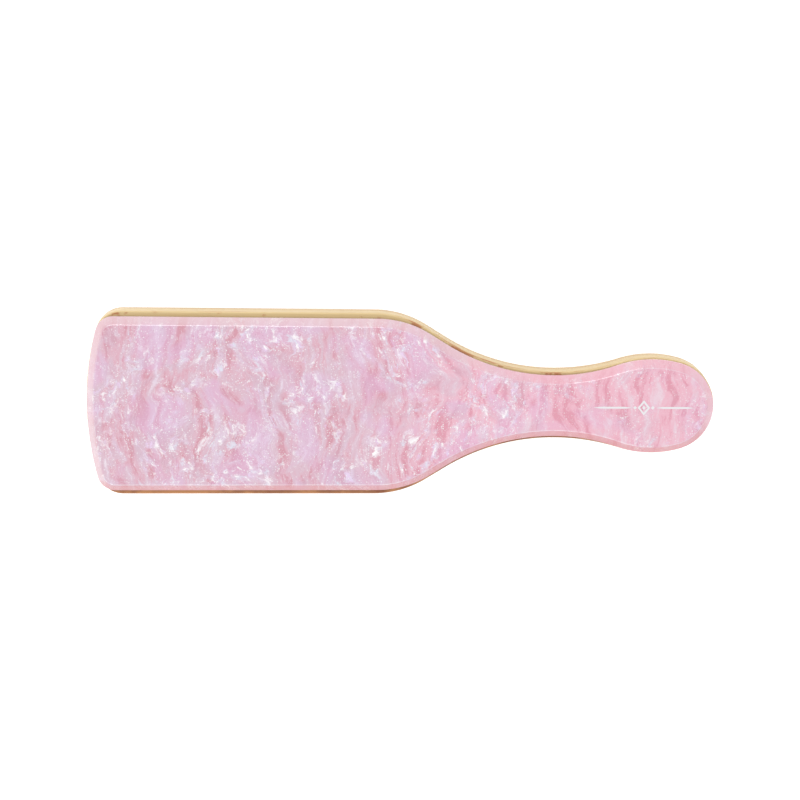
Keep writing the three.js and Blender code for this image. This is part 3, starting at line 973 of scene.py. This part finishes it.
    # The vent, in the middle of four pins
    vent = Vector((xs[PIN_COLUMNS - 1], ys[PIN_ROWS // 2 + 1]))
    loops = []
    for bottom in (True, False):
        near = [
            v
            for v in bm.verts
            if (Vector(v.co.xy) - vent).length < 0.01 * MM
            and (v.co.z < pad_low.z + PAD_MEMBRANE / 2) == bottom
        ]
        corner = near[0]
        around = {v for f in corner.link_faces for v in f.verts} - {corner}
        ordered = sorted(around, key=lambda v: math.atan2(v.co.y - vent.y, v.co.x - vent.x))
        bmesh.ops.delete(bm, geom=[corner], context="VERTS")
        for v in ordered:
            ray = (Vector(v.co.xy) - vent).normalized() * VENT_RADIUS
            v.co.x, v.co.y = vent.x + ray.x, vent.y + ray.y
        loops.append(ordered)
    for i in range(len(loops[0])):
        j = (i + 1) % len(loops[0])
        bm.faces.new((loops[0][i], loops[0][j], loops[1][j], loops[1][i]))
    return finish_mesh(bm, "air_cushion", mat, sharp=50)


# ---------------------------------------------------------------- pins, cloth, print


def build_pin(node, mat):
    low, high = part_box(node)
    centre = Vector(((low.x + high.x) / 2, (low.y + high.y) / 2, 0))
    root = pad_low.z
    head_low = high.z - PIN_HEAD_THICKNESS
    profile = []
    for i in range(PIN_TIP_STEPS + 1):
        t = QUARTER * i / PIN_TIP_STEPS
        profile.append((PIN_TIP_RADIUS * math.sin(t), low.z + PIN_TIP_RADIUS * (1 - math.cos(t))))
    for i in range(1, PIN_SHAFT_STEPS + 1):
        t = i / PIN_SHAFT_STEPS
        waist = PIN_WAIST * math.sin(math.pi * t)
        radius = PIN_TIP_RADIUS + (PIN_ROOT_RADIUS - PIN_TIP_RADIUS) * t - waist
        profile.append((radius, low.z + PIN_TIP_RADIUS + (root - low.z - PIN_TIP_RADIUS) * t))
    arc = 0.3 * PIN_HEAD_ROUND
    profile += [
        (PIN_ROOT_RADIUS, head_low),
        (PIN_HEAD_RADIUS - PIN_HEAD_ROUND, head_low),
        (PIN_HEAD_RADIUS - arc, head_low + arc),
        (PIN_HEAD_RADIUS, head_low + PIN_HEAD_ROUND),
        (PIN_HEAD_RADIUS - arc, high.z - arc),
        (PIN_HEAD_RADIUS - PIN_HEAD_ROUND, high.z),
        (0, high.z),
    ]
    turn = random.uniform(0, 2 * math.pi)
    bm = bmesh.new()
    rings = []
    for radius, z in profile[1:-1]:
        ring = []
        for i in range(PIN_SIDES):
            angle = turn + 2 * math.pi * i / PIN_SIDES
            ring.append(centre + Vector((radius * math.cos(angle), radius * math.sin(angle), z)))
        rings.append(ring)
    rows = loft(bm, rings)
    for row, (_, z) in ((rows[0], profile[0]), (rows[-1], profile[-1])):
        tip = bm.verts.new(centre + Vector((0, 0, z)))
        for i in range(PIN_SIDES):
            bm.faces.new((row[i], row[(i + 1) % PIN_SIDES], tip))
    return finish_mesh(bm, node.replace("pin_", "turned_pin_"), mat)


def build_cloth(mat):
    bm = bmesh.new()
    half = cloth_high.y
    shape = RoundedBox(cloth_low.x, cloth_high.x, half, POCKET_CORNER_RADIUS - (pocket_half - half))
    foot, top = cloth_low.z, cloth_high.z
    profile = round_corners(
        [(-CLOTH_FACE_RING, foot), (0, foot), (0, top), (-CLOTH_FACE_RING, top)],
        [CLOTH_EDGE_ROUND, CLOTH_EDGE_ROUND],
    )
    rows = loft(bm, [shape.ring(grow, z) for grow, z in profile])
    fill(bm, rows[0])
    fill(bm, rows[-1])
    return finish_mesh(bm, "woven_backing", mat)


def build_print(mat):
    """A thin line, a small open diamond between two dots, and a thin line."""
    bm = bmesh.new()
    low, high = plate_high.z - PRINT_THICKNESS, plate_high.z + PRINT_THICKNESS

    def slab(points):
        bottom = [bm.verts.new((x, y, low)) for x, y in points]
        top = [bm.verts.new((x, y, high)) for x, y in points]
        bm.faces.new(top)
        bm.faces.new(list(reversed(bottom)))
        for i in range(len(points)):
            j = (i + 1) % len(points)
            bm.faces.new((bottom[i], bottom[j], top[j], top[i]))

    def diamond(reach_x, reach_y, x=PRINT_CENTRE_X):
        return [(x - reach_x, 0), (x, -reach_y), (x + reach_x, 0), (x, reach_y)]

    half, tall = PRINT_LENGTH / 2, PRINT_HEIGHT / 2
    wide = tall * 0.8
    frame_rings = []
    for shrink, level in ((0, low), (0, high), (1, high), (1, low), (0, low)):
        loop = diamond(wide - 1.2 * PRINT_LINE * shrink, tall - 1.5 * PRINT_LINE * shrink)
        frame_rings.append([Vector((x, y, level)) for x, y in loop])
    loft(bm, frame_rings)
    slab(diamond(PRINT_CORE, PRINT_CORE * 1.25))
    for side in (-1, 1):
        start = PRINT_CENTRE_X + side * (wide + PRINT_GAP)
        stop = PRINT_CENTRE_X + side * half
        line = PRINT_LINE / 2
        near, far = start + side * PRINT_TAPER, stop - side * PRINT_TAPER
        points = [(start, 0), (near, -line), (far, -line), (stop, 0), (far, line), (near, line)]
        slab(points if side > 0 else list(reversed(points)))
        slab(diamond(PRINT_DOT, PRINT_DOT, PRINT_CENTRE_X + side * (wide + PRINT_GAP / 2)))
    return finish_mesh(bm, "white_ornament", mat, sharp=30)


def place(piece, body, slot, *nodes):
    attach(piece, body)
    if nodes:
        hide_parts(*nodes)
    return piece


place(build_body(body_bamboo()), "root", "bamboo", "bamboo_body")
place(build_plate(pearl_acetate()), "root", "pearl_acetate", "acetate_back_plate")
pad = place(build_pad(cushion_rubber()), "root", "cushion_rubber", "cushion_pad")
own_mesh(pad)
woven = place(build_cloth(backing_cloth()), "pin_bed", "backing_cloth", "pad_backing_cloth")
place(build_print(white_print()), "root", "white_print")
pin_material = pin_bamboo()
for row in range(PIN_ROWS):
    for column in range(PIN_COLUMNS):
        node = f"pin_row{row + 1}_{column + 1:02d}"
        place(build_pin(node, pin_material), f"pin_row_{row + 1}", "pin_bamboo", node)


# ---------------------------------------------------------------- stage, light and camera


def build_floor():
    """A pale floor that can be seen through from below."""
    s = Shader("pale_floor", Roughness=0.9, Emission_Strength=FLOOR_GLOW)
    s.bsdf.inputs["Emission Color"].default_value = (1, 1, 1, 1)
    s.to("Base Color", (FLOOR_WHITE, FLOOR_WHITE, FLOOR_WHITE, 1))
    see_through = s.tree.nodes.new("ShaderNodeBsdfTransparent")
    side = s.tree.nodes.new("ShaderNodeNewGeometry")
    either = s.tree.nodes.new("ShaderNodeMixShader")
    output = s.tree.nodes["Material Output"]
    s.tree.links.new(side.outputs["Backfacing"], either.inputs[0])
    s.tree.links.new(s.bsdf.outputs[0], either.inputs[1])
    s.tree.links.new(see_through.outputs[0], either.inputs[2])
    s.tree.links.new(either.outputs[0], output.inputs["Surface"])
    half, z = FLOOR_HALF, cad_low.z - FLOOR_GAP
    corners = [(-half, -half, z), (half, -half, z), (half, half, z), (-half, half, z)]
    mesh = bpy.data.meshes.new("floor")
    mesh.from_pydata(corners, [], [(0, 1, 2, 3)])
    mesh.materials.append(s.material)
    floor = bpy.data.objects.new("floor", mesh)
    bpy.context.scene.collection.objects.link(floor)


def soft_box(name, place_at, aim, size, power):
    data = bpy.data.lights.new(name, "AREA")
    data.shape = "RECTANGLE"
    data.size, data.size_y = size
    data.energy = power
    light = bpy.data.objects.new(name, data)
    light.location = place_at
    light.rotation_euler = (Vector(aim) - Vector(place_at)).to_track_quat("-Z", "Y").to_euler()
    bpy.context.scene.collection.objects.link(light)


def build_light():
    world = bpy.data.worlds.new("studio")
    bpy.context.scene.world = world
    world.use_nodes = True
    world.node_tree.nodes["Background"].inputs[0].default_value = (1, 1, 1, 1)
    world.node_tree.nodes["Background"].inputs[1].default_value = SKY_LIGHT
    soft_box("key", (-0.35, 0.95, 1.0), (0, 0, 0.03), (0.9, 0.5), 9)
    soft_box("strip", (-0.3, -0.85, 0.75), (0, 0, 0.03), (1.1, 0.12), 4)


def build_camera():
    """Nearly straight above, leaning towards the brush's upper long side."""
    aim = Vector((0.2, -1.7, 0)) * MM
    joint = Vector((0, 0, body_high.z + 0.1 * MM))
    leaning = Matrix.Rotation(CAMERA_SWAY, 3, "Y") @ Matrix.Rotation(CAMERA_LEAN, 3, "X")
    view = Matrix.Rotation(CAMERA_TURN, 3, "Z") @ leaning
    back = view.transposed()
    data = bpy.data.cameras.new("camera")
    data.sensor_width = 36
    data.lens = CAMERA_LENS
    data.clip_start, data.clip_end = 0.05, 20
    camera = bpy.data.objects.new("camera", data)
    spot = back @ Vector((-aim.x, -aim.y, CAMERA_DISTANCE)) + joint
    camera.matrix_world = Matrix.Translation(spot) @ back.to_4x4()
    bpy.context.scene.collection.objects.link(camera)
    bpy.context.scene.camera = camera


build_floor()
build_light()
build_camera()
bpy.context.scene.view_settings.view_transform = "Standard"
